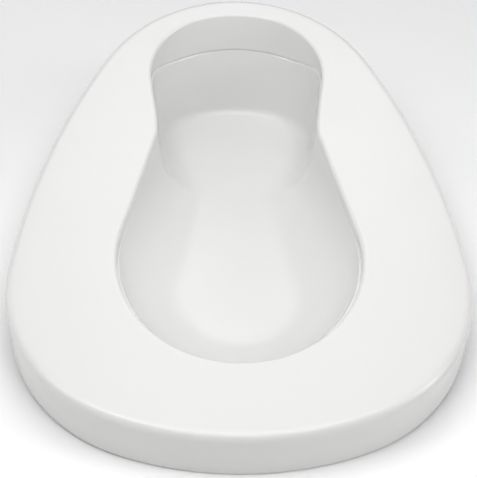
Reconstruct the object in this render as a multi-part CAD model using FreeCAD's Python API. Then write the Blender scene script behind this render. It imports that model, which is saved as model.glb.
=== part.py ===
import FreeCAD, Part
import math
import os

os.makedirs("parts", exist_ok=True)

# Bedpan, in millimetres. +Z is up, +Y runs from the low wide end to the high narrow end,
# and the origin is on the floor at the centre of the plan.

# Seat outline in plan: a four-radius egg.
LENGTH = 368.0
WIDTH = 292.0
NARROW_R = 108.5
CORNER_R = 112.7
CORNER_Y = -65.3
SIDE_R = 455.0

# Seat deck, skirt and wall.
HEIGHT = 95.0
LOW_DECK = 34.0
DECK_START_SLOPE = 0.05
SKIRT_DEPTH = 34.0
WALL = 2.8
OUTER_ROLL_R = 5.2
INNER_ROLL_R = 2.4

# Keyhole opening in plan: a wide bulb, two necks and a round-topped lobe.
BULB_FRONT = -131.4
BULB_FRONT_R = 75.0
BULB_SIDE_R = 86.0
BULB_SIDE_TURN = -44.8
NECK_X = 54.5
NECK_Y = 56.6
NECK_R = 9.0
LOBE_CENTRE_X = 10.3
LOBE_CENTRE_Y = 112.4
LOBE_CORNER_R = 52.0
LOBE_TOP_R = 88.5

# Bowl under the opening.
FLOOR = 2.8
DRAFT = 0.055
DRAFT_LEVEL = 42.0
LOBE_STEP = 2.2
BULB_FLOOR_R = 48.0
NECK_FLOOR_R = 38.0
LOBE_SIDE_FLOOR_R = 16.0
LOBE_END_FLOOR_R = 4.0
BULB_FLOOR_Y = -20.0
LOBE_SIDE_Y = 106.0
LOBE_END_Y = 162.0

# Socket joint between the seat's collar and the bowl.
COLLAR_DEPTH = 8.0
COLLAR_DEPTH_LOBE = 31.0
SOCKET_WALL = 1.6
SOCKET_RISE = 4.0
SOCKET_SHOULDER = 3.0
JOINT_DIP_START = 108.0
JOINT_DIP_END = 166.0

# How far the cutting shapes run past the part, and where the lobe's own one starts.
MARGIN = 15.0
BELOW = 12.0
LOBE_CLOSE_Y = 40.0
LOBE_SPACE_LOW = 45.0


def vec(x, y, z=0.0):
    return FreeCAD.Vector(x, y, z)


def polar(centre, radius, degrees):
    a = math.radians(degrees)
    return vec(centre.x + radius * math.cos(a), centre.y + radius * math.sin(a))


def angle_to(a, b):
    return math.degrees(math.atan2(b.y - a.y, b.x - a.x))


def arc(centre, radius, start, end):
    middle = polar(centre, radius, (start + end) / 2)
    return Part.Arc(polar(centre, radius, start), middle, polar(centre, radius, end)).toShape()


def line(a, b):
    return Part.LineSegment(a, b).toShape()


def symmetric_wire(front, sides, back):
    """Close a front and a back edge with one flank's edges and their mirror images."""
    mirrored = [e.mirror(vec(0, 0), vec(1, 0, 0)) for e in sides]
    edges = Part.sortEdges([front, back] + sides + mirrored)[0]
    return Part.Wire(edges)


def seat_outline(inset=0.0):
    """Egg outline of the seat, moved inwards by inset."""
    across = WIDTH / 2 - CORNER_R
    along = CORNER_Y + LENGTH / 2
    front_r = (across ** 2 + along ** 2 - CORNER_R ** 2) / (2 * (along - CORNER_R))
    front = vec(0, -LENGTH / 2 + front_r)
    corner = vec(across, CORNER_Y)
    narrow = vec(0, LENGTH / 2 - NARROW_R)
    # The long side arc's centre lies at known distances from the corner and narrow centres.
    gap = corner.distanceToPoint(narrow)
    from_corner = SIDE_R - CORNER_R
    from_narrow = SIDE_R - NARROW_R
    step = (from_corner ** 2 - from_narrow ** 2 + gap ** 2) / (2 * gap)
    rise = math.sqrt(from_corner ** 2 - step ** 2)
    unit = (narrow - corner) * (1 / gap)
    side = corner + unit * step + vec(-unit.y, unit.x) * rise
    turns = [angle_to(front, corner), angle_to(side, corner), angle_to(side, narrow)]
    sides = [
        arc(corner, CORNER_R - inset, turns[0], turns[1]),
        arc(side, SIDE_R - inset, turns[1], turns[2]),
    ]
    front_arc = arc(front, front_r - inset, -180 - turns[0], turns[0])
    back_arc = arc(narrow, NARROW_R - inset, turns[2], 180 - turns[2])
    return symmetric_wire(front_arc, sides, back_arc)


def lobe_centres():
    """Centres of the lobe's corner and top arcs, and the direction in which the two meet."""
    corner = vec(LOBE_CENTRE_X, LOBE_CENTRE_Y)
    top_turn = math.degrees(math.acos(LOBE_CENTRE_X / (LOBE_TOP_R - LOBE_CORNER_R)))
    return corner, polar(corner, LOBE_CORNER_R - LOBE_TOP_R, top_turn), top_turn


def keyhole(grow=0.0, lobe_step=0.0):
    """Keyhole outline moved outwards by grow, with the lobe drawn in by lobe_step."""
    front = vec(0, BULB_FRONT + BULB_FRONT_R)
    side = polar(front, BULB_FRONT_R - BULB_SIDE_R, BULB_SIDE_TURN)
    lobe, top, top_turn = lobe_centres()
    neck = vec(NECK_X, NECK_Y)
    lobe_r = LOBE_CORNER_R - lobe_step
    # The flank and the lobe's straight side are tangents from the neck point to two circles.
    bulb_turn = math.asin(BULB_SIDE_R / neck.distanceToPoint(side))
    lobe_turn = math.asin(lobe_r / neck.distanceToPoint(lobe))
    flank_normal = angle_to(neck, side) + math.degrees(bulb_turn) + 90
    lobe_normal = angle_to(neck, lobe) - math.degrees(lobe_turn) - 90
    normals = [polar(vec(0, 0), 1, flank_normal), polar(vec(0, 0), 1, lobe_normal)]
    spread = 1 + normals[0].dot(normals[1])
    neck_centre = neck + (normals[0] + normals[1]) * (NECK_R / spread)
    neck_r = NECK_R - grow
    flank_end = neck_centre - normals[0] * neck_r
    lobe_start = neck_centre - normals[1] * neck_r
    sides = [
        arc(side, BULB_SIDE_R + grow, BULB_SIDE_TURN, flank_normal),
        line(polar(side, BULB_SIDE_R + grow, flank_normal), flank_end),
        arc(neck_centre, neck_r, flank_normal + 180, lobe_normal + 180),
        line(lobe_start, polar(lobe, lobe_r + grow, lobe_normal)),
        arc(lobe, lobe_r + grow, lobe_normal, top_turn),
    ]
    front_arc = arc(front, BULB_FRONT_R + grow, -180 - BULB_SIDE_TURN, BULB_SIDE_TURN)
    top_arc = arc(top, LOBE_TOP_R - lobe_step + grow, top_turn, 180 - top_turn)
    return symmetric_wire(front_arc, sides, top_arc)


def lobe_outline(grow=0.0):
    """Full-size lobe of the keyhole, closed straight across inside the bulb."""
    lobe, top, top_turn = lobe_centres()
    neck = vec(NECK_X, NECK_Y)
    reach = neck.distanceToPoint(lobe)
    slope = angle_to(neck, lobe) - math.degrees(math.asin(LOBE_CORNER_R / reach))
    side_end = polar(lobe, LOBE_CORNER_R + grow, slope - 90)
    drop = side_end.y - LOBE_CLOSE_Y
    foot = vec(side_end.x - drop / math.tan(math.radians(slope)), LOBE_CLOSE_Y)
    sides = [
        line(foot, side_end),
        arc(lobe, LOBE_CORNER_R + grow, slope - 90, top_turn),
    ]
    front = line(vec(-foot.x, foot.y), foot)
    return symmetric_wire(front, sides, arc(top, LOBE_TOP_R + grow, top_turn, 180 - top_turn))


def prism(wire, low, high):
    face = Part.Face(wire)
    face.translate(vec(0, 0, low))
    return face.extrude(vec(0, 0, high - low))


def deck_height(y):
    """Height of the seat surface: a parabola that starts almost level at the wide end."""
    run = y + LENGTH / 2
    rise = HEIGHT - LOW_DECK - DECK_START_SLOPE * LENGTH
    return LOW_DECK + DECK_START_SLOPE * run + rise * (run / LENGTH) ** 2


def joint_height(y):
    """Height of the collar's lower edge, which dips to a deep step round the lobe."""
    t = (y - JOINT_DIP_START) / (JOINT_DIP_END - JOINT_DIP_START)
    t = min(max(t, 0.0), 1.0)
    dip = (COLLAR_DEPTH_LOBE - COLLAR_DEPTH) * t * t * (3 - 2 * t)
    return deck_height(y) - COLLAR_DEPTH - dip


def solid_under(height, offset=0.0):
    """Everything under a curve given as a height over Y."""
    reach = LENGTH / 2 + MARGIN
    count = 24
    ys = [-reach + 2 * reach * i / count for i in range(count + 1)]
    points = [vec(-WIDTH, y, height(y) + offset) for y in ys]
    curve = Part.BSplineCurve()
    curve.interpolate(points)
    low_a = vec(-WIDTH, -reach, -BELOW)
    low_b = vec(-WIDTH, reach, -BELOW)
    edges = [curve.toShape(), line(points[-1], low_b), line(low_b, low_a), line(low_a, points[0])]
    return Part.Face(Part.Wire(edges)).extrude(vec(2 * WIDTH, 0, 0))


def round_edges(shape, radii):
    """Fillet a shape with (edge number, start radius, end radius) for each edge."""
    doc = FreeCAD.newDocument()
    base = doc.addObject("Part::Feature", "base")
    base.Shape = shape
    fillet = doc.addObject("Part::Fillet", "fillet")
    fillet.Base = base
    fillet.Edges = radii
    doc.recompute()
    result = fillet.Shape.copy()
    FreeCAD.closeDocument(doc.Name)
    return result


def top_rolled(wire, drop, radius):
    """Prism under the deck, lowered by drop, with its top edge rolled over."""
    body = prism(wire, -BELOW, HEIGHT + MARGIN).common(solid_under(deck_height, -drop))
    radii = []
    for number, edge in enumerate(body.Edges, 1):
        ends = [edge.valueAt(edge.FirstParameter), edge.valueAt(edge.LastParameter)]
        on_top = [abs(p.z - deck_height(p.y) + drop) < 0.05 for p in ends]
        if all(on_top):
            radii.append((number, radius, radius))
    return round_edges(body, radii)


def floor_radius(y):
    """Radius where the wall sweeps into the floor: wide along the sides, tight at the far end."""
    places = (BULB_FLOOR_Y, NECK_Y, LOBE_SIDE_Y, LOBE_END_Y)
    radii = (BULB_FLOOR_R, NECK_FLOOR_R, LOBE_SIDE_FLOOR_R, LOBE_END_FLOOR_R)
    y = min(max(y, places[0]), places[-1])
    for i in range(len(places) - 1):
        if y <= places[i + 1]:
            t = (y - places[i]) / (places[i + 1] - places[i])
            return radii[i] + (radii[i + 1] - radii[i]) * t


def bowl_space(grow, floor):
    """Drafted keyhole pocket with a rounded floor, moved outwards by grow."""
    rings = []
    for level in (floor, HEIGHT + MARGIN):
        ring = keyhole(grow + (level - DRAFT_LEVEL) * DRAFT, LOBE_STEP)
        ring.translate(vec(0, 0, level))
        rings.append(ring)
    body = Part.makeLoft(rings, True, True)
    radii = []
    for number, edge in enumerate(body.Edges, 1):
        if edge.BoundBox.ZMax < floor + 0.01:
            start = edge.valueAt(edge.FirstParameter)
            end = edge.valueAt(edge.LastParameter)
            radii.append((number, floor_radius(start.y) + grow, floor_radius(end.y) + grow))
    return round_edges(body, radii)


def collar_space(grow):
    """The opening and the bowl below it as one space, moved outwards by grow."""
    lobe = prism(lobe_outline(grow), LOBE_SPACE_LOW, HEIGHT + MARGIN)
    return bowl_space(grow, FLOOR - grow).fuse(lobe)


def opening_edges(body):
    """The deck's edges round the opening, with the radius they are rolled to."""
    radii = []
    reach = WIDTH / 2 - 2 * OUTER_ROLL_R
    low = -LENGTH / 2 + 2 * OUTER_ROLL_R
    high = LENGTH / 2 - 1.5 * OUTER_ROLL_R
    for number, edge in enumerate(body.Edges, 1):
        points = [edge.valueAt(p) for p in (edge.FirstParameter, edge.LastParameter)]
        on_deck = all(abs(p.z - deck_height(p.y)) < 0.05 for p in points)
        inside = all(abs(p.x) < reach and low < p.y < high for p in points)
        if on_deck and inside:
            radii.append((number, INNER_ROLL_R, INNER_ROLL_R))
    return radii


def seat():
    """Deck, rolled rim, skirt and collar: the moulding that is sat on."""
    joint = solid_under(joint_height)
    hollow = top_rolled(seat_outline(WALL), WALL, OUTER_ROLL_R - WALL)
    hollow = hollow.cut(collar_space(WALL).cut(joint))
    lobe = prism(lobe_outline(), LOBE_SPACE_LOW, HEIGHT + MARGIN).cut(joint)
    body = top_rolled(seat_outline(), 0, OUTER_ROLL_R).cut(hollow)
    body = body.cut(bowl_space(0, FLOOR).fuse(lobe))
    body = body.cut(solid_under(deck_height, -SKIRT_DEPTH))
    body = body.cut(Part.makeBox(2 * WIDTH, 2 * LENGTH, BELOW, vec(-WIDTH, -LENGTH, -BELOW)))
    return round_edges(body, opening_edges(body))


def bowl():
    """Walls and floor of the bowl, with the socket that takes the seat's collar."""
    joint = solid_under(joint_height)
    walls = bowl_space(WALL, FLOOR - WALL).common(joint)
    socket = collar_space(WALL + SOCKET_WALL).common(solid_under(joint_height, SOCKET_RISE))
    socket = socket.cut(solid_under(joint_height, -SOCKET_SHOULDER))
    body = walls.fuse(socket)
    body = body.cut(collar_space(WALL).cut(joint))
    return body.cut(bowl_space(0, FLOOR))


seat().exportStep("parts/seat.step")
bowl().exportStep("parts/bowl.step")
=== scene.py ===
import math

import bpy
from mathutils import Matrix, Vector


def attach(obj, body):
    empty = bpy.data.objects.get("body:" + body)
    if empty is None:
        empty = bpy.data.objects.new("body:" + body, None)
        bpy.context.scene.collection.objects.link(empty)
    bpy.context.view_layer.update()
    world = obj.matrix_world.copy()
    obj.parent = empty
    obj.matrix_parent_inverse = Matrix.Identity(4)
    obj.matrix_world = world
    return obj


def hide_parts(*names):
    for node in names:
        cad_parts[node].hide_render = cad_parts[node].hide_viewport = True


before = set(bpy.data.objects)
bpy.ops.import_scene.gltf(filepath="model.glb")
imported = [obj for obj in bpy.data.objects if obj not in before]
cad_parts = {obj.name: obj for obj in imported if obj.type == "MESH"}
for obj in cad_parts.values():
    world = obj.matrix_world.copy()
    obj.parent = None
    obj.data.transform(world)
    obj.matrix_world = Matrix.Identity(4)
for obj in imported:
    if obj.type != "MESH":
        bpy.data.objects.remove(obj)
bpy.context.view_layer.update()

# The pan's sizes are in millimetres and its named angles in degrees.
MM = 0.001
DEG = math.pi / 180

# Seat outline in plan: an egg of front, corner, side and narrow arcs.
LENGTH = 368.0
WIDTH = 292.0
NARROW_R = 108.5
CORNER_R = 112.7
CORNER_Y = -65.3
SIDE_R = 455.0

# Seat section.
HEIGHT = 95.0
LOW_DECK = 34.0
DECK_START_SLOPE = 0.05
SKIRT_DEPTH = 34.0
WALL = 2.8
OUTER_ROLL_R = 5.2
INNER_ROLL_R = 2.4

# Keyhole opening in plan.
BULB_FRONT = -131.4
BULB_FRONT_R = 75.0
BULB_SIDE_R = 86.0
BULB_SIDE_TURN = -44.8
NECK_X = 54.5
NECK_Y = 56.6
NECK_R = 9.0
LOBE_X = 10.3
LOBE_Y = 112.4
LOBE_CORNER_R = 52.0
LOBE_TOP_R = 88.5

# Bowl section; each floor radius belongs to a place along the pan.
FLOOR = 2.8
DRAFT = 0.055
DRAFT_LEVEL = 42.0
LOBE_STEP = 2.2
BULB_FLOOR_R = 48.0
NECK_FLOOR_R = 38.0
LOBE_SIDE_FLOOR_R = 16.0
LOBE_END_FLOOR_R = 4.0
BULB_FLOOR_Y = -20.0
LOBE_SIDE_Y = 106.0
LOBE_END_Y = 162.0

# Where the drafted bulb turns into the upright lobe.
UPRIGHT_START = NECK_Y - 2
UPRIGHT_BLEND = 16

# Joint between the seat's collar and the bowl's socket.
COLLAR_DEPTH = 8.0
COLLAR_DEPTH_LOBE = 31.0
JOINT_DIP_START = 108.0
JOINT_DIP_END = 166.0
SOCKET_WALL = 1.6
SOCKET_RISE = 4.0
SOCKET_SHOULDER = 3.0
SOCKET_GAP = 0.02

# The step under the collar fades away in the middle of the far wall.
STEP_FADE_NEAR = 14.0
STEP_FADE_FAR = 36.0
STEP_FADE_DEPTH = 16.0
STEP_EDGE_MIN = 0.12
STEP_EDGE_SHARE = 0.55
STEP_EDGE_MAX = 1.1
STEP_EDGE_TURNS = (30, 60, 90)

# Small roundings at the hem, the collar and the socket.
HEM_ROUND = 0.8
HEM_CORNER_IN = 0.25
HEM_CORNER_UP = 0.2
COLLAR_ROOT = 1.5
COLLAR_ROOT_MIDDLE = 0.45
COLLAR_FOOT = 0.15
COLLAR_FOOT_SHARE = 0.02
SOCKET_ROUND = 0.3
SHOULDER_ROUND = 0.4

# Points along each part of half a keyhole loop.
FRONT_STEPS = 9
SIDE_STEPS = 15
FLANK_STEPS = 12
NECK_STEPS = 5
LOBE_SIDE_STEPS = 9
LOBE_CORNER_STEPS = 14
LOBE_TOP_STEPS = 5

# Points along each part of a section, and subdivision levels of the finished shells.
WALL_STEPS = 5
INNER_ROLL_STEPS = 6
DECK_STEPS = 12
OUTER_ROLL_STEPS = 8
SKIRT_STEPS = 3
UNDER_ROLL_STEPS = 5
UNDER_STEPS = 8
SWEEP_STEPS = 40
POCKET_STEPS = 18
FLOOR_COLUMNS = 12
SMOOTHING = 1


# ---------------------------------------------------------------- plan curves
def unit(degrees):
    return Vector((math.cos(degrees * DEG), math.sin(degrees * DEG)))


def turn(a, b):
    return math.atan2(b.y - a.y, b.x - a.x) / DEG


def arc(centre, radius, start, end, steps, side=1):
    """(point, outward normal) pairs along an arc; side is -1 where the loop is hollow.

    The last point is left to the next piece, here and in straight.
    """
    row = []
    for i in range(steps):
        n = unit(start + (end - start) * i / steps)
        row.append((centre + n * radius, n * side))
    return row


def straight(a, b, normal, steps):
    return [(a.lerp(b, i / steps), normal) for i in range(steps)]


def both_sides(half):
    """A closed loop from the right-hand half, which runs from the front to the back."""
    left = [(Vector((-p.x, p.y)), Vector((-n.x, n.y))) for p, n in reversed(half[1:-1])]
    return half + left


def keyhole(lobe_step):
    """Keyhole loop, with the lobe drawn in by lobe_step."""
    front = Vector((0, BULB_FRONT + BULB_FRONT_R))
    side = front + unit(BULB_SIDE_TURN) * (BULB_FRONT_R - BULB_SIDE_R)
    lobe = Vector((LOBE_X, LOBE_Y))
    lobe_r = LOBE_CORNER_R - lobe_step
    top_turn = math.acos(LOBE_X / (LOBE_TOP_R - LOBE_CORNER_R)) / DEG
    top = lobe + unit(top_turn) * (LOBE_CORNER_R - LOBE_TOP_R)
    top_r = LOBE_TOP_R - lobe_step
    # The flank and the lobe's side leave the neck as tangents to the side and lobe arcs.
    neck = Vector((NECK_X, NECK_Y))
    flank = turn(neck, side) + math.asin(BULB_SIDE_R / (side - neck).length) / DEG + 90
    out = turn(neck, lobe) - math.asin(lobe_r / (lobe - neck).length) / DEG - 90
    n0, n1 = unit(flank), unit(out)
    knee = neck + (n0 + n1) * (NECK_R / (1 + n0.dot(n1)))
    half = arc(front, BULB_FRONT_R, -90, BULB_SIDE_TURN, FRONT_STEPS)
    half += arc(side, BULB_SIDE_R, BULB_SIDE_TURN, flank, SIDE_STEPS)
    half += straight(side + n0 * BULB_SIDE_R, knee - n0 * NECK_R, n0, FLANK_STEPS)
    half += arc(knee, NECK_R, flank + 180, out + 180, NECK_STEPS, -1)
    half += straight(knee - n1 * NECK_R, lobe + n1 * lobe_r, n1, LOBE_SIDE_STEPS)
    half += arc(lobe, lobe_r, out, top_turn, LOBE_CORNER_STEPS)
    half += arc(top, top_r, top_turn, 90, LOBE_TOP_STEPS)
    half.append((top + Vector((0, top_r)), Vector((0, 1))))
    return both_sides(half)


def egg_arcs():
    """(centre, radius, start, end) of the seat outline's arcs on the right-hand side."""
    across = WIDTH / 2 - CORNER_R
    along = CORNER_Y + LENGTH / 2
    front_r = (across ** 2 + along ** 2 - CORNER_R ** 2) / (2 * (along - CORNER_R))
    front = Vector((0, -LENGTH / 2 + front_r))
    corner = Vector((across, CORNER_Y))
    narrow = Vector((0, LENGTH / 2 - NARROW_R))
    # The side circle encloses the corner and narrow circles and touches both of them.
    gap = (narrow - corner).length
    from_corner = SIDE_R - CORNER_R
    from_narrow = SIDE_R - NARROW_R
    step = (from_corner ** 2 - from_narrow ** 2 + gap ** 2) / (2 * gap)
    rise = math.sqrt(from_corner ** 2 - step ** 2)
    along_gap = (narrow - corner) / gap
    side = corner + along_gap * step + Vector((-along_gap.y, along_gap.x)) * rise
    turns = [turn(front, corner), turn(side, corner), turn(side, narrow)]
    return [
        (front, front_r, -90, turns[0]),
        (corner, CORNER_R, turns[0], turns[1]),
        (side, SIDE_R, turns[1], turns[2]),
        (narrow, NARROW_R, turns[2], 90),
    ]


def egg(fractions):
    """Seat loop with points at the given fractions of its half length."""
    arcs = egg_arcs()
    lengths = [r * (b - a) * DEG for _, r, a, b in arcs]
    total = sum(lengths)
    half = []
    for fraction in fractions:
        rest = fraction * total
        index = 0
        while index < len(arcs) - 1 and rest > lengths[index]:
            rest -= lengths[index]
            index += 1
        centre, radius, start, end = arcs[index]
        n = unit(start + (end - start) * min(rest / lengths[index], 1))
        half.append((centre + n * radius, n))
    return both_sides(half)


def half_fractions(loop):
    """How far along its half length each right-hand point of a loop lies."""
    count = len(loop) // 2 + 1
    reach = [0.0]
    for i in range(1, count):
        reach.append(reach[-1] + (loop[i][0] - loop[i - 1][0]).length)
    return [r / reach[-1] for r in reach]


OPENING = keyhole(0.0)
POCKET = keyhole(LOBE_STEP)
RIM = egg(half_fractions(OPENING))
COUNT = len(OPENING)


# ---------------------------------------------------------------- heights
def smooth(t):
    t = min(max(t, 0.0), 1.0)
    return t * t * (3 - 2 * t)


def deck_height(y):
    """Height of the deck: a parabola that starts almost level at the wide end."""
    run = y + LENGTH / 2
    rise = HEIGHT - LOW_DECK - DECK_START_SLOPE * LENGTH
    return LOW_DECK + DECK_START_SLOPE * run + rise * (run / LENGTH) ** 2


def deck_slope(y):
    run = y + LENGTH / 2
    rise = HEIGHT - LOW_DECK - DECK_START_SLOPE * LENGTH
    return DECK_START_SLOPE + 2 * rise * run / LENGTH ** 2


def joint_height(y):
    """Height of the collar's lower edge, which dips away from the deck round the lobe."""
    dip = smooth((y - JOINT_DIP_START) / (JOINT_DIP_END - JOINT_DIP_START))
    return deck_height(y) - COLLAR_DEPTH - (COLLAR_DEPTH_LOBE - COLLAR_DEPTH) * dip


def floor_radius(y):
    """Radius between wall and floor: wide along the bulb, tight at the lobe's far end."""
    places = (BULB_FLOOR_Y, NECK_Y, LOBE_SIDE_Y, LOBE_END_Y)
    radii = (BULB_FLOOR_R, NECK_FLOOR_R, LOBE_SIDE_FLOOR_R, LOBE_END_FLOOR_R)
    y = min(max(y, places[0]), places[-1])
    for i in range(len(places) - 1):
        if y <= places[i + 1]:
            t = (y - places[i]) / (places[i + 1] - places[i])
            return radii[i] + (radii[i + 1] - radii[i]) * t


def step_fade(p):
    """1 where the step under the collar has melted into the far wall, 0 elsewhere."""
    across = smooth((STEP_FADE_FAR - abs(p.x)) / (STEP_FADE_FAR - STEP_FADE_NEAR))
    return across * smooth((p.y - LOBE_SIDE_Y) / (LOBE_END_Y - LOBE_SIDE_Y))


def pear_share(y):
    """1 in the drafted bulb and flanks, 0 in the upright lobe above the step."""
    return 1 - smooth((y - UPRIGHT_START) / UPRIGHT_BLEND)


# ---------------------------------------------------------------- sections
def at(loop, index, outward, height):
    """A loop's point moved along its outward normal and set to a height."""
    p, n = loop[index]
    return Vector((p.x + n.x * outward, p.y + n.y * outward, height))


def collar_wall(index, height, grow=0.0):
    """Point on the wall above the step, moved outwards by grow."""
    lean = DRAFT * pear_share(OPENING[index][0].y)
    return at(OPENING, index, grow + (height - DRAFT_LEVEL) * lean, height)


def roll(index, loop, wall_shift, radius, drop, inner, steps, lean=0.0):
    """Points of the rounded edge between a wall and the deck, wall end first.

    wall_shift moves the wall outwards, drop lowers the deck, inner is true at the opening.
    """
    p, n = loop[index]
    y = p.y + n.y * wall_shift
    slope = deck_slope(y) * n.y
    top = deck_height(y) - drop
    sign = 1 if inner else -1
    s = slope * sign
    along = math.sqrt(1 + s * s)
    upright = math.sqrt(1 + lean * lean)
    # The arc's centre is a radius away from both the sloping deck and the leaning wall.
    depth = radius * (upright - lean * along) / (1 - lean * s)
    height = top + s * depth - radius * along
    first = math.pi - math.atan(lean)
    last = math.pi / 2 + math.atan(s)
    points = []
    for i in range(steps + 1):
        a = first + (last - first) * i / steps
        out = wall_shift + sign * (depth + radius * math.cos(a))
        points.append(at(loop, index, out, height + radius * math.sin(a)))
    return points


def deck_points(a, b, drop, steps, count):
    """The first count of the steps from a to b, kept drop below the deck's surface."""
    points = []
    for i in range(1, count + 1):
        q = a.lerp(b, i / steps)
        points.append(Vector((q.x, q.y, deck_height(q.y) - drop)))
    return points


def skirt_points(index, outer_top, inner_top):
    """Down the skirt from outer_top, round its hem, and up its inside to inner_top."""
    hem = max(deck_height(RIM[index][0].y) - SKIRT_DEPTH, 0.0)
    edge = hem + HEM_ROUND
    points = []
    for i in range(1, SKIRT_STEPS + 1):
        points.append(at(RIM, index, 0, outer_top + (edge - outer_top) * i / SKIRT_STEPS))
    points.append(at(RIM, index, -HEM_CORNER_IN, hem + HEM_CORNER_UP))
    points.append(at(RIM, index, -HEM_ROUND, hem))
    points.append(at(RIM, index, -WALL + HEM_ROUND, hem))
    points.append(at(RIM, index, -WALL + HEM_CORNER_IN, hem + HEM_CORNER_UP))
    points.append(at(RIM, index, -WALL, edge))
    for i in range(1, SKIRT_STEPS):
        points.append(at(RIM, index, -WALL, edge + (inner_top - edge) * i / SKIRT_STEPS))
    return points


def collar_points(index, root, foot):
    """From the deck's underside at root, down the collar's outside and under its foot."""
    places = (
        (root - COLLAR_ROOT_MIDDLE, WALL + COLLAR_ROOT_MIDDLE),
        (root - COLLAR_ROOT, WALL),
        ((root + foot) / 2, WALL),
        (foot + COLLAR_FOOT, WALL),
        (foot, WALL - COLLAR_FOOT),
        (foot, COLLAR_FOOT),
    )
    return [collar_wall(index, height, grow) for height, grow in places]


def seat_section(index):
    """Closed section of the seat at one place round the opening."""
    y = OPENING[index][0].y
    lean = DRAFT * pear_share(y)
    foot = joint_height(y)
    edge_out = (deck_height(y) - DRAFT_LEVEL) * lean
    inner_roll = roll(
        index, OPENING, edge_out, INNER_ROLL_R, 0, True, INNER_ROLL_STEPS, lean)
    outer_roll = roll(index, RIM, 0, OUTER_ROLL_R, 0, False, OUTER_ROLL_STEPS)[::-1]
    under_roll = roll(
        index, RIM, -WALL, OUTER_ROLL_R - WALL, WALL, False, UNDER_ROLL_STEPS)
    root = collar_wall(index, deck_height(y) - WALL, WALL + COLLAR_ROOT)
    root.z = deck_height(root.y) - WALL
    points = []
    for i in range(WALL_STEPS):
        share = COLLAR_FOOT_SHARE + (1 - COLLAR_FOOT_SHARE) * i / WALL_STEPS
        points.append(collar_wall(index, foot + (inner_roll[0].z - foot) * share))
    points += inner_roll
    points += deck_points(inner_roll[-1], outer_roll[0], 0, DECK_STEPS, DECK_STEPS - 1)
    points += outer_roll
    points += skirt_points(index, outer_roll[-1].z, under_roll[0].z)
    points += under_roll
    points += deck_points(under_roll[-1], root, WALL, UNDER_STEPS, UNDER_STEPS)
    points += collar_points(index, root.z, foot)
    return points


def evenly(line, steps):
    """Points at equal distances along a line of (outward, height) pairs."""
    reach = [0.0]
    for a, b in zip(line, line[1:]):
        reach.append(reach[-1] + math.hypot(b[0] - a[0], b[1] - a[1]))
    points = []
    part = 0
    for i in range(steps + 1):
        want = reach[-1] * i / steps
        while part < len(line) - 2 and reach[part + 1] < want:
            part += 1
        t = (want - reach[part]) / (reach[part + 1] - reach[part])
        a, b = line[part], line[part + 1]
        points.append((a[0] + (b[0] - a[0]) * t, a[1] + (b[1] - a[1]) * t))
    return points


def pocket_profile(index, grow, top):
    """Down the bowl's wall from top and round its floor edge, moved outwards by grow."""
    radius = floor_radius(POCKET[index][0].y) + grow
    centre = FLOOR - grow + radius
    upright = math.sqrt(1 + DRAFT * DRAFT)
    centre_out = grow + (centre - DRAFT_LEVEL) * DRAFT - radius * upright
    start = -math.atan(DRAFT)
    line = []
    if top > centre + radius * math.sin(start):
        line.append((grow + (top - DRAFT_LEVEL) * DRAFT, top))
    else:
        # The wall ends inside the floor's sweep, so the line starts part of the way round.
        start = math.asin(max((top - centre) / radius, -1))
    for i in range(SWEEP_STEPS + 1):
        a = start + (-math.pi / 2 - start) * i / SWEEP_STEPS
        line.append((centre_out + radius * math.cos(a), centre + radius * math.sin(a)))
    return [at(POCKET, index, out, height) for out, height in evenly(line, POCKET_STEPS)]


def inside_points(index, foot):
    """From the floor up the inside of the bowl and over the step's rounded edge."""
    inner = at(POCKET, index, (foot - DRAFT_LEVEL) * DRAFT, foot)
    ledge = (collar_wall(index, foot) - inner).length
    fade = step_fade(OPENING[index][0])
    edge = min(STEP_EDGE_MAX, STEP_EDGE_MIN + STEP_EDGE_SHARE * ledge * (1 - fade))
    points = pocket_profile(index, 0.0, foot - edge)[::-1]
    out = POCKET[index][1].to_3d()
    # Where the step fades, the wall below it leans out to meet the collar.
    for v in points:
        near_step = smooth(1 - (foot - edge - v.z) / STEP_FADE_DEPTH)
        v += out * ledge * fade * near_step
    brim = points[-1]
    for degrees in STEP_EDGE_TURNS:
        a = degrees * DEG
        shift = out * edge * (1 - math.cos(a))
        points.append(brim + shift + Vector((0, 0, edge * math.sin(a))))
    return points


def socket_points(index, foot):
    """Across the ledge that carries the collar and over the rim that holds it."""
    fit = WALL + SOCKET_GAP
    outside = WALL + SOCKET_WALL
    top = foot + SOCKET_RISE
    low = foot - SOCKET_SHOULDER
    places = (
        (foot, WALL / 2),
        (foot, fit),
        (foot + SOCKET_RISE / 2, fit),
        (top - SOCKET_ROUND, fit),
        (top, WALL + SOCKET_ROUND),
        (top, outside - SOCKET_ROUND),
        (top - SOCKET_ROUND, outside),
        (foot, outside),
        (low + SHOULDER_ROUND, outside),
        (low, outside - SHOULDER_ROUND),
    )
    return [collar_wall(index, height, grow) for height, grow in places]


def bowl_section(index):
    """Section of the bowl from its floor, over the rim, to its underside."""
    foot = joint_height(OPENING[index][0].y)
    points = inside_points(index, foot)
    points += socket_points(index, foot)
    points += pocket_profile(index, WALL, foot - SOCKET_SHOULDER - SHOULDER_ROUND)
    return points


# ---------------------------------------------------------------- meshes
def shaded(name, verts, faces):
    """A smooth-shaded, subdivided object from points in millimetres."""
    mesh = bpy.data.meshes.new(name)
    mesh.from_pydata([v * MM for v in verts], [], faces)
    mesh.validate()
    mesh.polygons.foreach_set("use_smooth", [True] * len(mesh.polygons))
    obj = bpy.data.objects.new(name, mesh)
    bpy.context.scene.collection.objects.link(obj)
    sub = obj.modifiers.new("smooth", "SUBSURF")
    sub.levels = SMOOTHING
    sub.render_levels = SMOOTHING
    return obj


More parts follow.
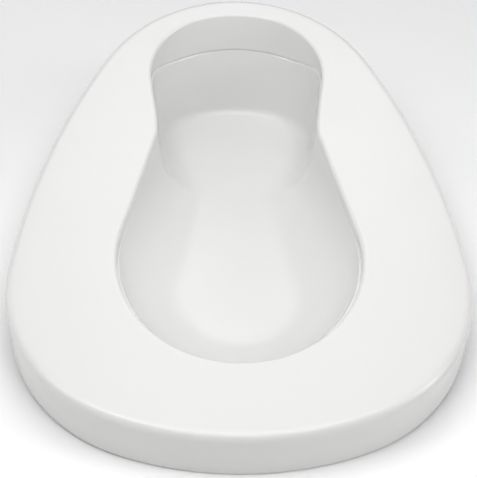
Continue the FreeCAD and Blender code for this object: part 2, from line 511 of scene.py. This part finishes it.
def bridge(rows, closed):
    """Quads between neighbouring sections, with their normals into the plastic.

    Each section is a row of points; closed joins its last point to its first.
    """
    width = len(rows[0])
    faces = []
    for i in range(len(rows)):
        j = (i + 1) % len(rows)
        for k in range(width if closed else width - 1):
            m = (k + 1) % width
            faces.append((i * width + k, j * width + k, j * width + m, i * width + m))
    return faces


def cap(verts, width, column, upward):
    """Fills a flat floor between mirrored points of one column of the sections."""
    half = COUNT // 2
    lines = []
    for i in range(half + 1):
        right = i * width + column
        left = ((COUNT - i) % COUNT) * width + column
        if i in (0, half):
            lines.append([right] * (FLOOR_COLUMNS + 1))
            continue
        line = [right]
        for c in range(1, FLOOR_COLUMNS):
            verts.append(verts[right].lerp(verts[left], c / FLOOR_COLUMNS))
            line.append(len(verts) - 1)
        line.append(left)
        lines.append(line)
    faces = []
    for low, high in zip(lines, lines[1:]):
        for c in range(FLOOR_COLUMNS):
            # The end lines are single points, so a face there loses its repeated corner.
            face = list(dict.fromkeys([low[c], low[c + 1], high[c + 1], high[c]]))
            faces.append(tuple(reversed(face)) if upward else tuple(face))
    return faces


def build_seat():
    rows = [seat_section(i) for i in range(COUNT)]
    verts = [v for row in rows for v in row]
    return shaded("seat_shell", verts, bridge(rows, True))


def build_bowl():
    rows = [bowl_section(i) for i in range(COUNT)]
    width = len(rows[0])
    verts = [v for row in rows for v in row]
    faces = bridge(rows, False)
    faces += cap(verts, width, 0, False)
    faces += cap(verts, width, width - 1, True)
    return shaded("bowl_shell", verts, faces)


# ---------------------------------------------------------------- materials
# Noise scales are per metre, and the orange peel's depth is in metres.
PLASTIC_WHITE = (0.77, 0.77, 0.765, 1)
PLASTIC_WARM = (0.75, 0.75, 0.742, 1)
PLASTIC_IOR = 1.49
FLOW_MARKS = {"Scale": 14.0, "Detail": 4.0, "Roughness": 0.55}
RUBBED_PATCHES = {"Scale": 30.0, "Detail": 6.0, "Roughness": 0.6}
ORANGE_PEEL = {"Scale": 420.0, "Detail": 2.0}
PEEL_STRENGTH = 0.06
PEEL_DEPTH = 0.0003
PATCH_RANGE = (0.3, 0.75)
ROUGHNESS_RANGE = (0.17, 0.27)

# Sockets of the Mix node that belong to its colour mode.
MIX_SHARE = 0
MIX_FIRST = 6
MIX_SECOND = 7
MIX_RESULT = 2


def node(tree, kind, **values):
    """A new node with its settings and input values filled in."""
    made = tree.nodes.new(kind)
    for key, value in values.items():
        if hasattr(made, key):
            setattr(made, key, value)
        else:
            made.inputs[key].default_value = value
    return made


def noise(tree, place, values):
    made = node(tree, "ShaderNodeTexNoise", **values)
    tree.links.new(place, made.inputs["Vector"])
    return made.outputs["Fac"]


def map_range(tree, value, source, target, **settings):
    """The value moved from the source range to the target range."""
    made = node(tree, "ShaderNodeMapRange", **settings)
    made.inputs["From Min"].default_value = source[0]
    made.inputs["From Max"].default_value = source[1]
    made.inputs["To Min"].default_value = target[0]
    made.inputs["To Max"].default_value = target[1]
    tree.links.new(value, made.inputs["Value"])
    return made.outputs["Result"]


def white_plastic(name):
    """Gloss white polypropylene with faint flow marks, orange peel and rubbed patches."""
    mat = bpy.data.materials.new(name)
    mat.use_nodes = True
    tree = mat.node_tree
    link = tree.links.new
    shader = tree.nodes["Principled BSDF"]
    shader.inputs["IOR"].default_value = PLASTIC_IOR
    place = node(tree, "ShaderNodeTexCoord").outputs["Object"]

    tint = node(tree, "ShaderNodeMix", data_type="RGBA")
    tint.inputs[MIX_FIRST].default_value = PLASTIC_WHITE
    tint.inputs[MIX_SECOND].default_value = PLASTIC_WARM
    link(noise(tree, place, FLOW_MARKS), tint.inputs[MIX_SHARE])
    link(tint.outputs[MIX_RESULT], shader.inputs["Base Color"])

    patches = noise(tree, place, RUBBED_PATCHES)
    roughness = map_range(tree, patches, PATCH_RANGE, ROUGHNESS_RANGE)
    link(roughness, shader.inputs["Roughness"])

    bump = node(tree, "ShaderNodeBump", Strength=PEEL_STRENGTH, Distance=PEEL_DEPTH)
    link(noise(tree, place, ORANGE_PEEL), bump.inputs["Height"])
    link(bump.outputs["Normal"], shader.inputs["Normal"])
    return mat


# ---------------------------------------------------------------- the object
seat = build_seat()
bowl = build_bowl()
for piece, cad_node, slot in ((seat, "seat", "seat_plastic"), (bowl, "bowl", "bowl_plastic")):
    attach(piece, "root")
    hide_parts(cad_node)
seat.data.materials.append(white_plastic("seat_plastic_gloss"))
bowl.data.materials.append(white_plastic("bowl_plastic_gloss"))


# ---------------------------------------------------------------- studio
# The studio is in metres. Its floor lies just under the pan.
FLOOR_REACH = 6.0
FLOOR_DROP = 0.0005
FLOOR_WHITE = (0.95, 0.95, 0.95, 1)
FLOOR_ROUGHNESS = 0.9
FLOOR_GLOW_REACH = (0.2, 1.3)
FLOOR_GLOW = (0.03, 0.55)

# The world's light falls with height, which is 0 at the horizon and 1 straight up.
SKY_HEIGHTS = (0.02, 0.35)
SKY_LIGHT = (0.62, 0.05)
PURE_WHITE = (1, 1, 1, 1)

# name, place in metres, width and height in metres, power in watts; all face the pan.
SOFTBOXES = (
    ("high_left_softbox", (-0.5, -0.1, 0.9), (0.4, 0.6), 1.8),
    ("high_right_softbox", (0.5, -0.1, 0.9), (0.4, 0.6), 0.5),
    ("overhead_softbox", (0.0, -0.1, 0.6), (0.5, 0.4), 1.8),
    ("overhead_front_softbox", (0.0, -0.4, 0.6), (0.5, 0.3), 0.85),
    ("left_softbox", (-1.33, -0.4, 0.75), (0.4, 0.9), 1.6),
    ("right_softbox", (1.33, -0.4, 0.75), (0.4, 0.9), 5.0),
    ("left_back_softbox", (-1.3, 0.6, 0.6), (0.4, 0.9), 1.2),
    ("back_softbox", (0.1, 1.1, 1.35), (0.9, 0.6), 2.4),
    ("high_back_softbox", (0.05, 0.8, 1.5), (1.1, 0.5), 1.6),
    ("front_softbox", (0.0, -1.6, 0.9), (2.0, 0.7), 0.3),
)
LIGHT_TARGET = Vector((0, 0, 0.04))

# The focal length and the frame's long side are in pixels, the sensor in millimetres.
CAMERA_AZIMUTH = -1.84
CAMERA_ELEVATION = 43.0
CAMERA_ROLL = 1.31
CAMERA_DISTANCE = 0.700
CAMERA_TARGET = Vector((0, -0.0184, 0.030))
CAMERA_CLIP = 0.01
FOCAL_PIXELS = 1048.5
FRAME_LONG_SIDE = 478.0
SENSOR = 36.0


def floor_material():
    """Matt white that grows paler away from the pan, so it runs into the pale world."""
    mat = bpy.data.materials.new("pale_floor")
    mat.use_nodes = True
    tree = mat.node_tree
    shader = tree.nodes["Principled BSDF"]
    shader.inputs["Base Color"].default_value = FLOOR_WHITE
    shader.inputs["Roughness"].default_value = FLOOR_ROUGHNESS
    shader.inputs["Specular IOR Level"].default_value = 0.0
    shader.inputs["Emission Color"].default_value = PURE_WHITE
    reach = node(tree, "ShaderNodeVectorMath", operation="LENGTH")
    tree.links.new(node(tree, "ShaderNodeTexCoord").outputs["Object"], reach.inputs[0])
    glow = map_range(tree, reach.outputs["Value"], FLOOR_GLOW_REACH, FLOOR_GLOW)
    tree.links.new(glow, shader.inputs["Emission Strength"])
    return mat


def pale_floor():
    mesh = bpy.data.meshes.new("studio_floor")
    r = FLOOR_REACH
    mesh.from_pydata([(-r, -r, 0), (r, -r, 0), (r, r, 0), (-r, r, 0)], [], [(0, 1, 2, 3)])
    mesh.materials.append(floor_material())
    floor = bpy.data.objects.new("studio_floor", mesh)
    bpy.context.scene.collection.objects.link(floor)
    floor.location.z = -FLOOR_DROP


def softbox(name, place, size, power):
    light = bpy.data.lights.new(name, "AREA")
    light.shape = "RECTANGLE"
    light.size, light.size_y = size
    light.energy = power
    obj = bpy.data.objects.new(name, light)
    bpy.context.scene.collection.objects.link(obj)
    obj.location = place
    obj.rotation_mode = "QUATERNION"
    obj.rotation_quaternion = (LIGHT_TARGET - obj.location).to_track_quat("-Z", "Y")


def pale_world():
    """White light all round, bright at the horizon and dim overhead."""
    world = bpy.data.worlds.new("studio_world")
    bpy.context.scene.world = world
    world.use_nodes = True
    tree = world.node_tree
    sky = tree.nodes["Background"]
    sky.inputs["Color"].default_value = PURE_WHITE
    height = node(tree, "ShaderNodeSeparateXYZ")
    tree.links.new(node(tree, "ShaderNodeTexCoord").outputs["Generated"], height.inputs[0])
    light = map_range(
        tree, height.outputs["Z"], SKY_HEIGHTS, SKY_LIGHT, interpolation_type="SMOOTHSTEP")
    tree.links.new(light, sky.inputs["Strength"])


def studio():
    pale_floor()
    for name, place, size, power in SOFTBOXES:
        softbox(name, place, size, power)
    pale_world()


def camera():
    """The photo's camera, aimed by its azimuth, elevation and roll."""
    data = bpy.data.cameras.new("photo_camera")
    data.sensor_width = SENSOR
    data.lens = SENSOR * FOCAL_PIXELS / FRAME_LONG_SIDE
    data.clip_start = CAMERA_CLIP
    obj = bpy.data.objects.new("photo_camera", data)
    bpy.context.scene.collection.objects.link(obj)
    a, e = CAMERA_AZIMUTH * DEG, CAMERA_ELEVATION * DEG
    back = Vector((math.sin(a) * math.cos(e), -math.cos(a) * math.cos(e), math.sin(e)))
    right = (-back).cross(Vector((0, 0, 1))).normalized()
    up = right.cross(-back)
    tilt = CAMERA_ROLL * DEG
    across = right * math.cos(tilt) + up * math.sin(tilt)
    upward = -right * math.sin(tilt) + up * math.cos(tilt)
    facing = Matrix((across, upward, back)).transposed()
    place = Matrix.Translation(CAMERA_TARGET + back * CAMERA_DISTANCE)
    obj.matrix_world = place @ facing.to_4x4()
    bpy.context.scene.camera = obj


studio()
camera()
bpy.context.scene.view_settings.view_transform = "Standard"
